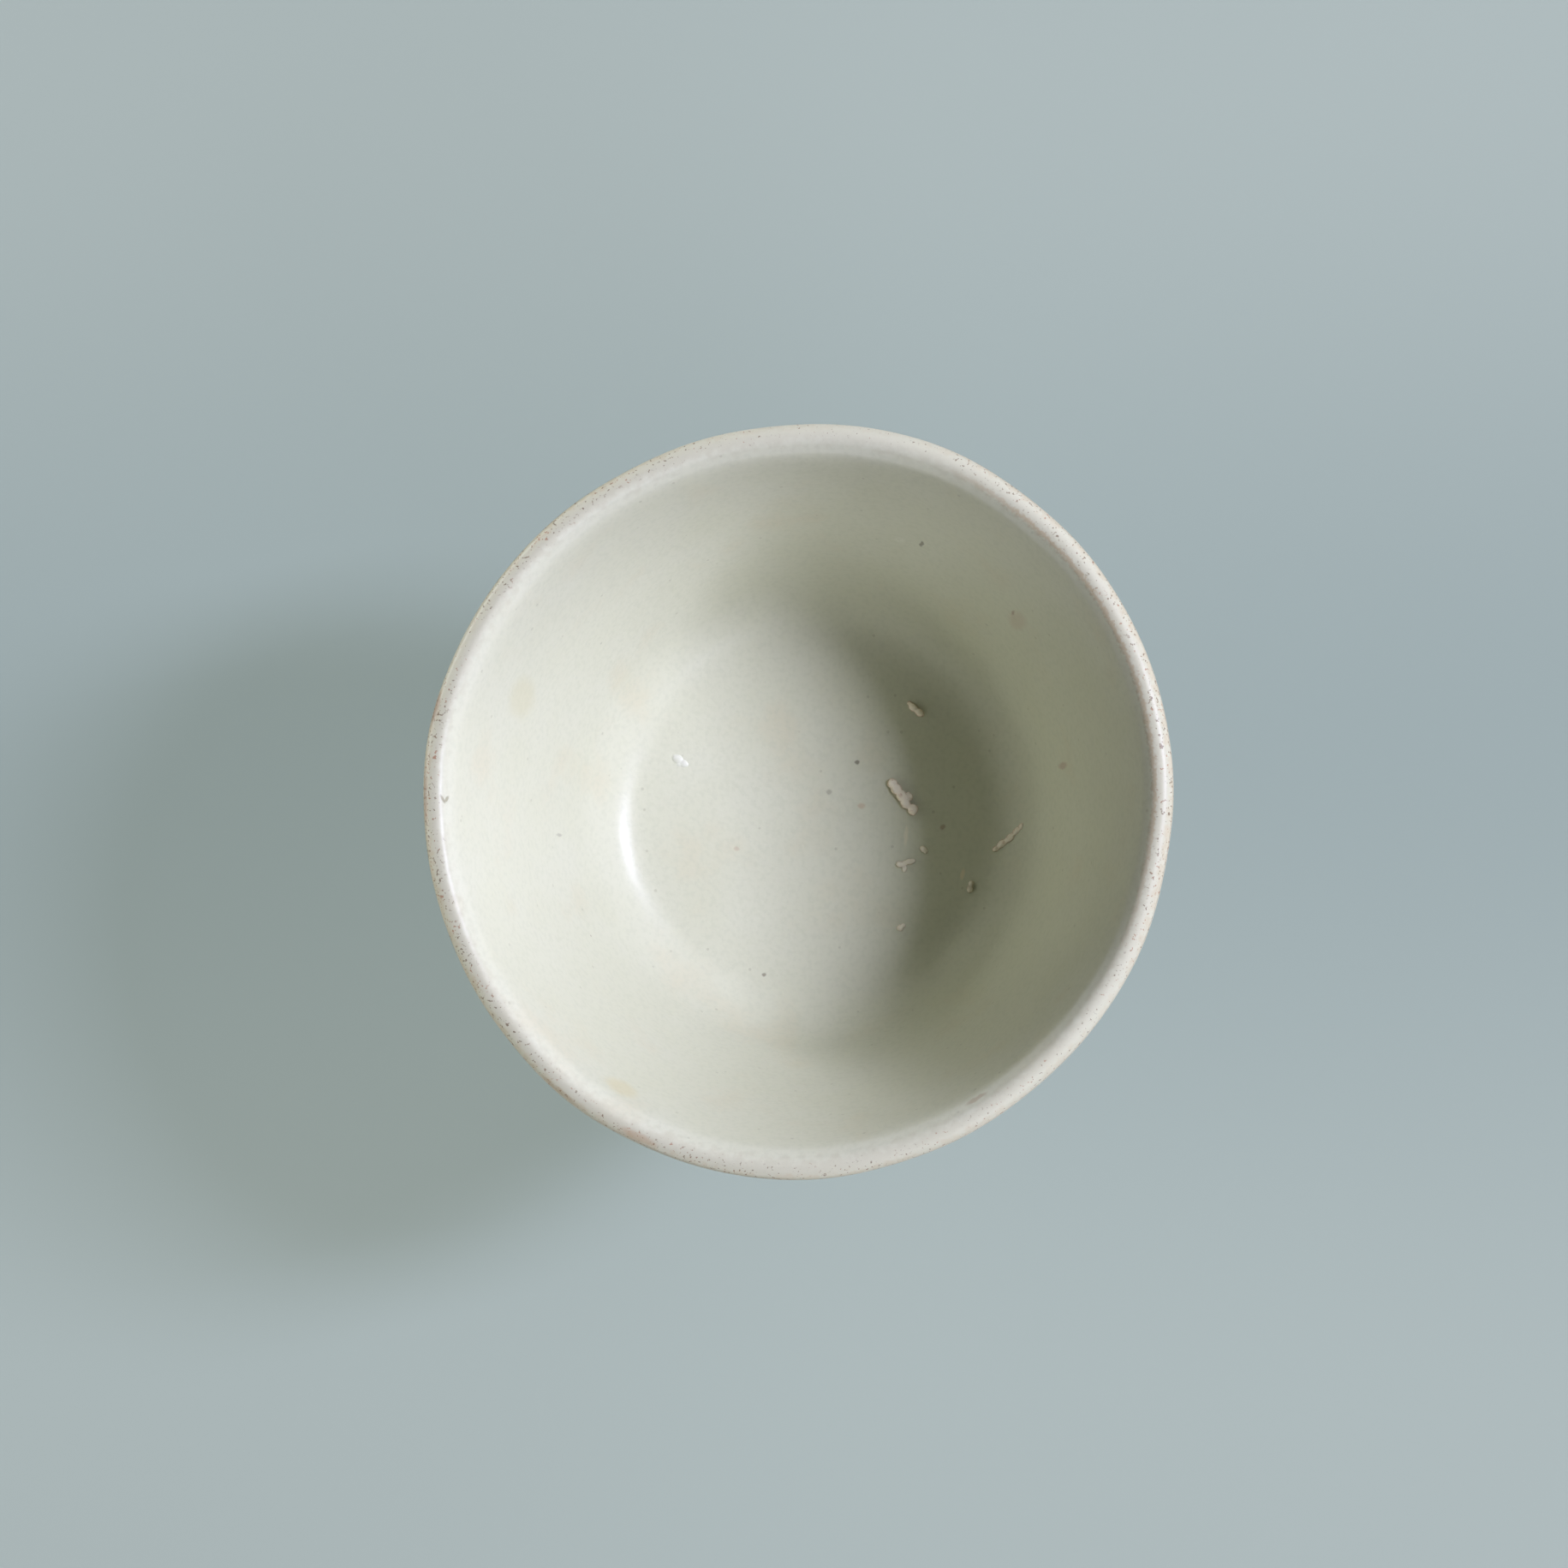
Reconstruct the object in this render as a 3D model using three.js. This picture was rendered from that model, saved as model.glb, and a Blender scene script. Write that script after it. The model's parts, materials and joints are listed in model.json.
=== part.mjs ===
// Porcelain stem cup. A thrown bowl with an everted lip is luted with slip to a thrown hollow stem.
// Glaze covers the inside and the outside, and crumbs of kiln grit are fused to the glaze in the well.
// Millimetres, +Z up. The origin is the centre of the foot ring's underside.

import * as THREE from 'three';

// Overall form
const mouthRadius = 39; // outside of the glazed lip
const bowlDepth = 39.2; // crest of the lip down to the middle of the well
const stemHeight = 25; // foot ring up to the top of the stem's clay
const footRadius = 19.5;

// Bowl
const wellRadius = 23.8; // where the lines of the well floor and the wall would meet
const wellDish = 0.6; // rise of the well floor from its middle to that corner
const wellRun = 5; // rounding of that corner, along the floor
const wellRise = 7; // rounding of that corner, up the wall
const baseThickness = 5; // over the stem
const shoulderThickness = 3.2; // below the well's corner, where the underside has risen
const wallThickness = 2.4; // up to the belly, from where the wall thins to the lip
const wallBelly = 0.7; // how far the wall stands out from a straight slope
const bellyPlace = 0.5; // share of the wall below its belly
const bellyRound = 9; // rounding of the belly, up and down the wall
const underRun = 9; // rounding of the bowl's underside, along its slope
const underRise = 12; // rounding of the bowl's underside, up the wall
const legFill = 0.97; // most of a straight stretch that the roundings at its two ends may take

// Everted lip
const lipAngle = THREE.MathUtils.degToRad(48); // slope of the lip above the level
const lipReach = 1.6; // slanted length of the lip above the throat
const lipEdgeRadius = 0.95; // half the thickness of the lip's clay
const lipBend = 0.8; // rounding at the throat, along the lip
const throatBend = 3; // rounding at the throat, down the wall

// Hollow stem and foot
const neckRadius = 8;
const neckRun = 1.2; // straight neck below the slip fillet
const stemWall = 3.2; // thickness at the neck
const flarePower = 4; // how late the stem spreads towards its foot
const footEdgeHeight = 2.2;
const footBevel = 0.6;
const footRingWidth = 4.5; // flat ring that the cup stands on

// Slip that lutes the stem to the bowl
const slipThickness = 0.4;
const slipFillet = 1.8; // slip squeezed out at the joint, inside and outside the stem
const padMargin = 1; // flat clay round the fillet, before the bowl's underside curves up

// Glaze
const glazeThickness = 0.35;
const seat = 0.05; // hairline between a coat and the piece that it covers
const seamAngle = THREE.MathUtils.degToRad(20); // where the two coats meet on the lip, above the level
const bareBand = 1.2; // wiped clay above the foot's edge

// The mouth is slightly out of round: each lobe swells the lip by a length, towards an angle from +X
const lobeGrowth = 2; // how late the lobes grow, from none at the stem to their full size at the lip
const mouthLobes = [
  { count: 2, swell: 0.35, towards: THREE.MathUtils.degToRad(58.7) },
  { count: 3, swell: 0.15, towards: THREE.MathUtils.degToRad(41) },
  { count: 4, swell: 0.12, towards: THREE.MathUtils.degToRad(72.8) },
];

// Crumbs on the well floor and its rounded corner
const crumbSeat = 0.15; // hairline under a crumb
const crumbKnobs = 3;
const knobSwell = 0.16; // depth of the dents between the knobs, as a share of the crumb's reach
const crumbDome = [[0, 0], [1, 0], [0.88, 0.55], [0.5, 0.9], [0, 1]]; // shares of reach and height
const kilnGrit = [
  { x: 10.1, y: 2.6, length: 3.6, width: 1.5, height: 0.8, turn: -57 },
  { x: 11.8, y: 11.9, length: 2.0, width: 1.0, height: 0.6, turn: -37 },
  { x: 10.5, y: -5.3, length: 2.0, width: 1.0, height: 0.5, turn: 8 },
  { x: 22.1, y: -2.6, length: 3.6, width: 0.8, height: 0.5, turn: 34 },
  { x: 17.8, y: -7.9, length: 1.3, width: 0.9, height: 0.5, turn: 75 },
  { x: 10.0, y: -12.5, length: 1.0, width: 0.9, height: 0.5, turn: 20 },
  { x: 12.5, y: -3.7, length: 1.0, width: 0.8, height: 0.4, turn: -30 },
];
const glazeBead = { x: -14.8, y: 6.2, length: 1.6, width: 1.3, height: 0.5, turn: -25 };

// Facets
const turnSegments = 36;
const bendSteps = 5;
const flareSteps = 7;
const flareCrowding = 1.5; // above 1, the steps crowd towards the foot
const edgeSteps = 4;
const crumbSegments = 10;

const point = (radius, height) => new THREE.Vector2(radius, height);
const direction = (from, to) => to.clone().sub(from).normalize();
const leftOf = (heading) => point(-heading.y, heading.x);

// Corner on a wall's outer side: both lines of the inner corner move out, each by its own thickness
function outerCorner(before, corner, after, thicknessBefore, thicknessAfter) {
  const first = direction(before, corner);
  const second = direction(corner, after);
  const onFirst = corner.clone().addScaledVector(leftOf(first), -thicknessBefore);
  const onSecond = corner.clone().addScaledVector(leftOf(second), -thicknessAfter);
  const along = onSecond.sub(onFirst).cross(second) / first.cross(second);
  return onFirst.addScaledVector(first, along);
}

// Line through corners, each inner corner rounded from one length before it to another length after it.
// Two roundings that meet on one leg shrink alike where the leg is too short for both.
function roundedLine(corners, roundings) {
  const fits = corners.slice(1).map((corner, leg) => {
    const [, lengthAfterStart] = roundings[leg - 1] ?? [0, 0];
    const [lengthBeforeEnd] = roundings[leg] ?? [0, 0];
    const room = legFill * corner.distanceTo(corners[leg]);
    return Math.min(1, room / (lengthAfterStart + lengthBeforeEnd));
  });
  const path = new THREE.Path();
  path.moveTo(corners[0].x, corners[0].y);
  roundings.forEach(([lengthBefore, lengthAfter], index) => {
    const corner = corners[index + 1];
    const backwards = direction(corner, corners[index]);
    const onwards = direction(corner, corners[index + 2]);
    const start = corner.clone().addScaledVector(backwards, lengthBefore * fits[index]);
    const end = corner.clone().addScaledVector(onwards, lengthAfter * fits[index + 1]);
    path.lineTo(start.x, start.y);
    path.quadraticCurveTo(corner.x, corner.y, end.x, end.y);
  });
  const last = corners[corners.length - 1];
  path.lineTo(last.x, last.y);
  return path.getPoints(bendSteps);
}

// The same line moved to its left, with mitred corners. Points on the axis stay on it.
function movedLeft(line, distance) {
  return line.map((here, index) => {
    const before = line[Math.max(index - 1, 0)];
    const after = line[Math.min(index + 1, line.length - 1)];
    const arriving = index > 0 ? direction(before, here) : direction(here, after);
    const leaving = index < line.length - 1 ? direction(here, after) : arriving;
    const mitre = leftOf(arriving).add(leftOf(leaving));
    const moved = here.clone().addScaledVector(mitre, (2 * distance) / mitre.lengthSq());
    return point(Math.max(moved.x, 0), moved.y);
  });
}

// Heights of the stack, from the foot up
const coat = seat + glazeThickness;
const undersideHeight = stemHeight + slipThickness;
const floorHeight = undersideHeight + baseThickness;
const cupHeight = floorHeight + coat + bowlDepth;

// Inside of the bowl's clay: well, wall, and the everted lip up to its round edge
const lipHeading = point(Math.cos(lipAngle), Math.sin(lipAngle));
const lipTopside = leftOf(lipHeading);
const lipCentre = point(mouthRadius - coat - lipEdgeRadius, cupHeight - coat - lipEdgeRadius);
const lipTop = lipCentre.clone().addScaledVector(lipTopside, lipEdgeRadius);
const throat = lipTop.clone().addScaledVector(lipHeading, -lipReach);
const wellMiddle = point(0, floorHeight);
const wellCorner = point(wellRadius, floorHeight + wellDish);
const wallOutwards = leftOf(direction(wellCorner, throat)).negate();
const belly = wellCorner.clone().lerp(throat, bellyPlace).addScaledVector(wallOutwards, wallBelly);
const bowlInside = roundedLine(
  [wellMiddle, wellCorner, belly, throat, lipTop],
  [[wellRun, wellRise], [bellyRound, bellyRound], [throatBend, lipBend]],
);

// Outside of the bowl's clay: flat pad for the stem, rising underside, wall, and the lip's underside
const padMiddle = point(0, undersideHeight);
const padEdge = point(neckRadius + seat + slipFillet + padMargin, undersideHeight);
const levelWithCorner = point(0, wellCorner.y);
const underCorner = outerCorner(levelWithCorner, wellCorner, belly, shoulderThickness, wallThickness);
const outerBelly = belly.clone().addScaledVector(wallOutwards, wallThickness);
const lipThickness = 2 * lipEdgeRadius;
const underThroat = outerCorner(belly, throat, lipTop, lipThickness, lipThickness);
const lipUnderside = lipCentre.clone().addScaledVector(lipTopside, -lipEdgeRadius);
const bowlOutside = roundedLine(
  [padEdge, underCorner, outerBelly, underThroat, lipUnderside],
  [[underRun, underRise], [bellyRound, bellyRound], [throatBend, lipBend]],
);

// Round edge of the lip's clay between two angles above the level
function lipEdge(fromAngle, toAngle) {
  return Array.from({ length: edgeSteps + 1 }, (unused, step) => {
    const angle = THREE.MathUtils.lerp(fromAngle, toAngle, step / edgeSteps);
    return point(Math.cos(angle), Math.sin(angle)).multiplyScalar(lipEdgeRadius).add(lipCentre);
  });
}
const undersideAngle = lipAngle - Math.PI / 2;
const topsideAngle = lipAngle + Math.PI / 2;
const seamHalfAngle = seat / lipEdgeRadius;

const bowlProfile = [
  padMiddle,
  ...bowlOutside.slice(0, -1),
  ...lipEdge(undersideAngle, topsideAngle),
  ...bowlInside.slice(0, -1).reverse(),
];

// Stem: the outside and the hollow both spread towards the foot
const boreRadius = neckRadius - stemWall;
const neckBottom = stemHeight - slipFillet - neckRun;
const hollowRadius = footRadius - footBevel - footRingWidth;

// Spread between a neck and a foot, as points from a start height up to the neck
function flare(narrowRadius, wideRadius, wideHeight, startHeight) {
  return Array.from({ length: flareSteps + 1 }, (unused, step) => {
    const height = THREE.MathUtils.lerp(startHeight, neckBottom, (step / flareSteps) ** flareCrowding);
    const spread = ((neckBottom - height) / (neckBottom - wideHeight)) ** flarePower;
    return point(THREE.MathUtils.lerp(narrowRadius, wideRadius, spread), height);
  });
}
const glazedStem = flare(neckRadius, footRadius, footEdgeHeight, footEdgeHeight + bareBand);
const stemHollow = flare(boreRadius, hollowRadius, 0, 0);

const stemProfile = [
  point(footRadius - footBevel, 0),
  point(footRadius, footBevel),
  point(footRadius, footEdgeHeight),
  ...glazedStem,
  point(neckRadius, stemHeight),
  point(boreRadius, stemHeight),
  ...stemHollow.slice().reverse(),
  point(footRadius - footBevel, 0),
];

// Slip: a thin ring on top of the stem, with a hollow fillet outside the neck and another inside the bore
function slipCurve(radius, side) {
  const path = new THREE.Path();
  const top = undersideHeight - seat;
  path.moveTo(radius, stemHeight - slipFillet);
  path.quadraticCurveTo(radius, top, radius + side * slipFillet, top);
  return path.getPoints(bendSteps);
}
const slipOutside = slipCurve(neckRadius + seat, 1);
const slipInside = slipCurve(boreRadius - seat, -1);
const slipProfile = [
  ...slipOutside,
  ...slipInside.slice().reverse(),
  point(boreRadius - seat, stemHeight + seat),
  point(neckRadius + seat, stemHeight + seat),
  slipOutside[0],
];

// Inside glaze: from the well up the wall and over the lip's crest to the seam
const underInsideGlaze = [
  ...bowlInside.slice(0, -1),
  ...lipEdge(seamAngle + seamHalfAngle, topsideAngle).reverse(),
];
const insideGlazeFace = movedLeft(underInsideGlaze, coat);
const insideGlazeProfile = [
  ...movedLeft(underInsideGlaze, seat),
  ...insideGlazeFace.slice().reverse(),
];

// Outside glaze: from the wiped foot up the stem, over the slip and the bowl, to the seam on the lip
const underOutsideGlaze = [
  ...glazedStem,
  ...slipOutside,
  ...bowlOutside.slice(0, -1),
  ...lipEdge(undersideAngle, seamAngle - seamHalfAngle),
];
const outsideGlazeFace = movedLeft(underOutsideGlaze, -coat);
const outsideGlazeProfile = [
  ...outsideGlazeFace,
  ...movedLeft(underOutsideGlaze, -seat).reverse(),
  outsideGlazeFace[0],
];

// Swell of the lobes at a place on the bowl, as a share of its distance from the axis
function lobeSwell(x, y, height) {
  const angle = Math.atan2(y, x);
  const climb = Math.max(height - undersideHeight, 0) / (cupHeight - undersideHeight);
  const swellAtLip = mouthLobes.reduce(
    (sum, { count, swell, towards }) => sum + swell * Math.cos(count * (angle - towards)),
    0,
  );
  return climb ** lobeGrowth * (swellAtLip / mouthRadius);
}

// Solid turned on the wheel from its half profile, then made out of round
function turnedPiece(name, profile, material) {
  const geometry = new THREE.LatheGeometry(profile, turnSegments);
  geometry.rotateX(Math.PI / 2);
  const position = geometry.getAttribute('position');
  for (let index = 0; index < position.count; index += 1) {
    const x = position.getX(index);
    const y = position.getY(index);
    const scale = 1 + lobeSwell(x, y, position.getZ(index));
    position.setXY(index, x * scale, y * scale);
  }
  geometry.computeVertexNormals();
  const mesh = new THREE.Mesh(geometry, material);
  mesh.name = name;
  return mesh;
}

// Height and slope of the inside glaze at a distance from the axis
function glazeAt(radius) {
  const next = insideGlazeFace.findIndex((corner) => corner.x > radius);
  const outer = insideGlazeFace[next];
  const inner = insideGlazeFace[next - 1];
  const slope = (outer.y - inner.y) / (outer.x - inner.x);
  return { height: inner.y + slope * (radius - inner.x), slope };
}

// Lump with a flat bed and a knobbly outline, lying on the inside glaze
function crumb(name, { x, y, length, width, height, turn }, material) {
  const dome = crumbDome.map(([across, up]) => point(across, up));
  const geometry = new THREE.LatheGeometry(dome, crumbSegments);
  geometry.rotateX(Math.PI / 2);
  const position = geometry.getAttribute('position');
  for (let index = 0; index < position.count; index += 1) {
    const angle = Math.atan2(position.getY(index), position.getX(index));
    const scale = 1 - knobSwell + knobSwell * Math.cos(crumbKnobs * angle);
    position.setXY(index, position.getX(index) * scale, position.getY(index) * scale);
  }
  geometry.scale(length / 2, width / 2, height);
  geometry.computeVertexNormals();
  const mesh = new THREE.Mesh(geometry, material);
  mesh.name = name;
  mesh.rotation.z = THREE.MathUtils.degToRad(turn);

  // The bed is tangent to the glaze, and lifted as far as the glaze curves up under the crumb's ends
  const radius = Math.hypot(x, y);
  const { height: glazeHeight, slope } = glazeAt(radius);
  const upright = new THREE.Vector3(0, 0, 1);
  const normal = new THREE.Vector3((-slope * x) / radius, (-slope * y) / radius, 1).normalize();
  const reach = (length / 2) * Math.abs(Math.cos(mesh.rotation.z - Math.atan2(y, x))) * normal.z;
  const rises = [-reach, reach].map((step) => glazeAt(radius + step).height - glazeHeight - slope * step);
  const bed = new THREE.Group();
  bed.quaternion.setFromUnitVectors(upright, normal);
  bed.position.set(x, y, glazeHeight).addScaledVector(normal, crumbSeat + Math.max(...rises) * normal.z);
  bed.add(mesh);
  return bed;
}

const porcelain = new THREE.MeshStandardMaterial({ color: '#dcd8cc', roughness: 0.8, metalness: 0 });
const slip = new THREE.MeshStandardMaterial({ color: '#d2ccbd', roughness: 0.9, metalness: 0 });
const glaze = new THREE.MeshStandardMaterial({ color: '#d9dcd0', roughness: 0.15, metalness: 0 });
const grit = new THREE.MeshStandardMaterial({ color: '#c6b5a4', roughness: 0.85, metalness: 0 });

const stemCup = new THREE.Group();
stemCup.add(
  turnedPiece('bowl', bowlProfile, porcelain),
  turnedPiece('stem', stemProfile, porcelain),
  turnedPiece('slip_joint', slipProfile, slip),
  turnedPiece('inside_glaze', insideGlazeProfile, glaze),
  turnedPiece('outside_glaze', outsideGlazeProfile, glaze),
  ...kilnGrit.map((place, index) => crumb(`kiln_grit_${index + 1}`, place, grit)),
  crumb('glaze_bead', glazeBead, glaze),
);

export default stemCup;
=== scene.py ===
"""Looks of a small porcelain stem cup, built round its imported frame.

The cup stands on its foot, and the camera looks down into its mouth, with +X to the right and +Y up.
Sizes are in millimetres, and MM turns them to metres where a mesh, a lamp or the camera takes them.
"""

import json
import math

import bpy
import numpy as np
from mathutils import Euler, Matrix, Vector

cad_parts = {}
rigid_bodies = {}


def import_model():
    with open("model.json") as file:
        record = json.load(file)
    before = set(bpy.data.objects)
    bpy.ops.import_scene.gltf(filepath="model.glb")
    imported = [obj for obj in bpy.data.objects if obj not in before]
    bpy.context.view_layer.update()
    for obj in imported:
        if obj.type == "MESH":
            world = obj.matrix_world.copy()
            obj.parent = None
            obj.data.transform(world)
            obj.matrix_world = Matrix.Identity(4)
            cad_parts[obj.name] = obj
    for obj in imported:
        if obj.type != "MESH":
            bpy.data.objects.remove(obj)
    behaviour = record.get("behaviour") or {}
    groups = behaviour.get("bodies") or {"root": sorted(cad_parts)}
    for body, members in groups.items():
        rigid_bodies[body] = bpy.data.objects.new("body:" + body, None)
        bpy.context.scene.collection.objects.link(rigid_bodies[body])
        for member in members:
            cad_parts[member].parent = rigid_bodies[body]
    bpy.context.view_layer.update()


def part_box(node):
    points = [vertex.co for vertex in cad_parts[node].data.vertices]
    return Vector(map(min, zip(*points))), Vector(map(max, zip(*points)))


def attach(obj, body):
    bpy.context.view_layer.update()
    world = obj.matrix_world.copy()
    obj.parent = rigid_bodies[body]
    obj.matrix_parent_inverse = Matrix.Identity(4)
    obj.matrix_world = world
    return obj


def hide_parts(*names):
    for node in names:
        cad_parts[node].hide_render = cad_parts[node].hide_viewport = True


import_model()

MM = 0.001

# Sizes of the clay and its coats, as the frame has them
MOUTH_RADIUS = 39.0
BOWL_DEPTH = 39.2
STEM_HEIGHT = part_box("stem")[1].z / MM
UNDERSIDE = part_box("bowl")[0].z / MM
WELL_RADIUS, WELL_DISH, WELL_RUN, WELL_RISE = 23.8, 0.6, 5.0, 7.0
BASE_THICKNESS, SHOULDER_THICKNESS, WALL_THICKNESS = 5.0, 3.2, 2.4
WALL_BELLY, BELLY_PLACE, BELLY_ROUND = 0.7, 0.5, 9.0
UNDER_RUN, UNDER_RISE = 9.0, 12.0
LIP_ANGLE, LIP_REACH, LIP_EDGE_RADIUS = math.radians(48), 1.6, 0.95
LIP_BEND, THROAT_BEND = 0.8, 3.0
NECK_RADIUS, NECK_RUN, STEM_WALL, FLARE_POWER = 8.0, 1.2, 3.2, 4.0
FOOT_RADIUS, FOOT_EDGE_HEIGHT, FOOT_BEVEL, FOOT_RING_WIDTH = 19.5, 2.2, 0.6, 4.5
FOOT_EDGE_ROUND, RING_EDGE_ROUND = 0.4, 0.4
SLIP_FILLET, PAD_MARGIN = 1.8, 1.0
GLAZE_THICKNESS, SEAT, SEAM_ANGLE, BARE_BAND = 0.35, 0.05, math.radians(20), 1.2
GLAZE_ROLL, SEAM_GAP = 0.3, 0.005

# Lobes of the mouth: how many, how far they swell the lip, and the angle from +X that one of them faces
MOUTH_LOBES = [(2, 0.35, 58.7), (3, 0.15, 41.0), (4, 0.12, 72.8)]
LOBE_GROWTH = 2

# Waver of the glaze's lower edge, as lobes along the stem's side, and how far up it dies out
EDGE_WAVER = [(2, 0.22, 130.0), (3, 0.16, 20.0), (7, 0.1, 0.0)]
WAVER_HEIGHT = 3.0

# Small waves of the lip, as lobes: out of round, and up and down
LIP_RIPPLES = [(7, 0.06, 20.0), (11, 0.05, 5.0), (17, 0.03, 0.0)]
LIP_WAVES = [(3, 0.10, 75.0), (5, 0.07, 10.0), (9, 0.04, 30.0)]
RIPPLE_GROWTH = 6

# Crumbs in the well: place, turn, and the balls they grew from, each a place and three radii from the bed
CRUMB_VOXEL, CRUMB_GRAIN = 0.06, 0.35
GRIT_ROUGHNESS, DROP_ROUGHNESS = 0.14, 0.02
SUNK_GRIT, SUNK_SHARE = ("kiln_grit_3", "kiln_grit_5", "kiln_grit_6", "kiln_grit_7"), 0.3
SLOPE_STEP = 0.1
CRUMBS = {
    "kiln_grit_1": (10.1, 2.6, -57, [
        ((-1.5, -0.2, 0.2), (0.65, 0.58, 0.55)), ((-0.7, -0.25, 0.25), (0.85, 0.62, 0.62)),
        ((0.3, -0.2, 0.25), (0.9, 0.6, 0.6)), ((1.15, -0.22, 0.2), (0.7, 0.55, 0.52)),
        ((2.15, 0.25, 0.15), (0.6, 0.58, 0.52)), ((0.75, 0.5, 0.1), (0.48, 0.4, 0.4))]),
    "kiln_grit_2": (11.8, 11.9, -37, [
        ((-0.5, 0.0, 0.15), (0.62, 0.44, 0.45)), ((0.4, -0.05, 0.15), (0.6, 0.4, 0.42)),
        ((-1.1, 0.15, 0.0), (0.32, 0.26, 0.22))]),
    "kiln_grit_3": (10.5, -5.3, 8, [
        ((-0.7, -0.05, 0.1), (0.42, 0.36, 0.34)), ((0.5, 0.1, 0.1), (0.6, 0.34, 0.34)),
        ((-0.2, -0.6, 0.0), (0.3, 0.42, 0.26)), ((0.0, 0.05, 0.05), (0.42, 0.3, 0.28))]),
    "kiln_grit_4": (22.1, -2.6, 34, [
        ((-2.0, -0.05, 0.0), (0.5, 0.34, 0.24)), ((-1.1, 0.05, 0.02), (0.75, 0.44, 0.3)),
        ((0.1, 0.0, 0.02), (0.8, 0.42, 0.3)), ((1.2, 0.06, 0.0), (0.7, 0.38, 0.26)),
        ((2.1, 0.0, 0.0), (0.5, 0.3, 0.22))]),
    "kiln_grit_5": (17.8, -7.9, 75, [
        ((-0.3, 0.0, 0.08), (0.42, 0.36, 0.34)), ((0.3, 0.05, 0.05), (0.38, 0.3, 0.28))]),
    "kiln_grit_6": (10.0, -12.5, 20, [
        ((-0.1, 0.0, 0.08), (0.4, 0.36, 0.34)), ((0.28, 0.16, 0.05), (0.28, 0.24, 0.22))]),
    "kiln_grit_7": (12.5, -3.7, -30, [
        ((0.0, 0.0, 0.05), (0.44, 0.34, 0.3)), ((0.35, -0.1, 0.02), (0.26, 0.24, 0.2))]),
    "glaze_bead": (-14.8, 6.2, -25, [
        ((-0.4, 0.12, -0.1), (0.76, 0.54, 0.26)), ((0.4, -0.05, -0.1), (0.68, 0.48, 0.22)),
        ((0.0, -0.3, -0.1), (0.44, 0.38, 0.18))]),
}

# Glaze
GLAZE_ROUGHNESS, GLAZE_GLOSS, GLAZE_RELIEF = 0.32, 0.22, 0.015
GLAZE_COOL, GLAZE_GREEN, GLAZE_WARM = "#d2d3be", "#cecfb5", "#cfc8ab"
GLAZE_MOTTLE, GLAZE_PINHOLE, GLAZE_POOL, IRON_BROWN = "#c2c5ad", "#a5a48b", "#b4bda1", "#84694f"
CLOUD_SIZE, WARM_SIZE, MOTTLE_SIZE = 8.0, 9.0, 0.6

# Dots in the glaze: their spacing, their size and how many of the places have one
PINHOLES, IRON_SPECKS = (2.2, 0.45, 0.45), (7.0, 0.35, 0.25)

# Glaze that pooled: below and above the top of the stem, and up from the glaze's lower edge
POOL_BELOW, POOL_FULL, POOL_ABOVE, ROLL_WIDTH = 5.0, 0.8, 4.0, 2.0

# Lip: wear by degrees round the axis from -X towards -Y, and distances from the axis where it sets in
LIP_STRETCHES = [
    (-180, 0.4), (180, 0.4), (-121, 0.35), (-108, 0.12), (-76, 0.2), (-70, 0.3), (-50, 0.4), (-32, 0.35),
    (-26, 0.15), (-18, 0.3), (-14, 0.45), (6, 0.3), (12, 0.1), (24, 0.15), (33, 0.8), (50, 0.85), (65, 1.0),
    (74, 0.8), (80, 0.3), (90, 0.5), (101, 0.4), (115, 0.15), (150, 0.2),
]
LIP_ROUGHNESS = 0.38
LIP_BUFF, LIP_SPECKLED, LIP_BARE, LIP_MATT = (36.2, 37.6), (37.0, 38.0), (38.3, 38.9), (36.4, 37.4)
LIP_LINE_IN, LIP_LINE_OUT, LIP_LINE_SIDE, LIP_LINE_FRONT = (36.5, 36.95), (37.35, 37.0), (12, 26), (-24, 2)
LIP_HEIGHTS, LIP_DROP = (66.8, 68.6), 5.0
RAGGED_SIZE, RAGGED_REACH, LINE_SIZE, LINE_REACH, SPECK_SIZE, RUST_SIZE = 0.9, 0.45, 0.4, 0.15, 0.32, 2.4
LIP_COLOUR, LIP_TAN, LINE_BROWN = "#bebba2", "#b8a37f", "#aa8c62"
SPECK_BROWN, SPECK_RED = "#705c46", "#a07458"

# Bare clay, slip, kiln sand and the drop of glaze
CLAY_CREAM, CLAY_BUFF, CLAY_FLASHED, CLAY_SPECK = "#d6ceb6", "#c9bea3", "#c8b183", "#7d6753"
SLIP_PALE, SLIP_GREY = "#d3ccbb", "#bfb6a2"
# The sand's flank colour is rust and a painted shade in one
SAND_PALE, SAND_CREAM, SAND_FLANK_RUST_AND_SHADE, SAND_RUST = "#fff8e8", "#f4e6cc", "#b8946a", "#c09370"
DROP_MILKY, DROP_CLOUDY, DROP_BUBBLE = "#dcddcd", "#d3d5c1", "#c9c8b6"

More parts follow.
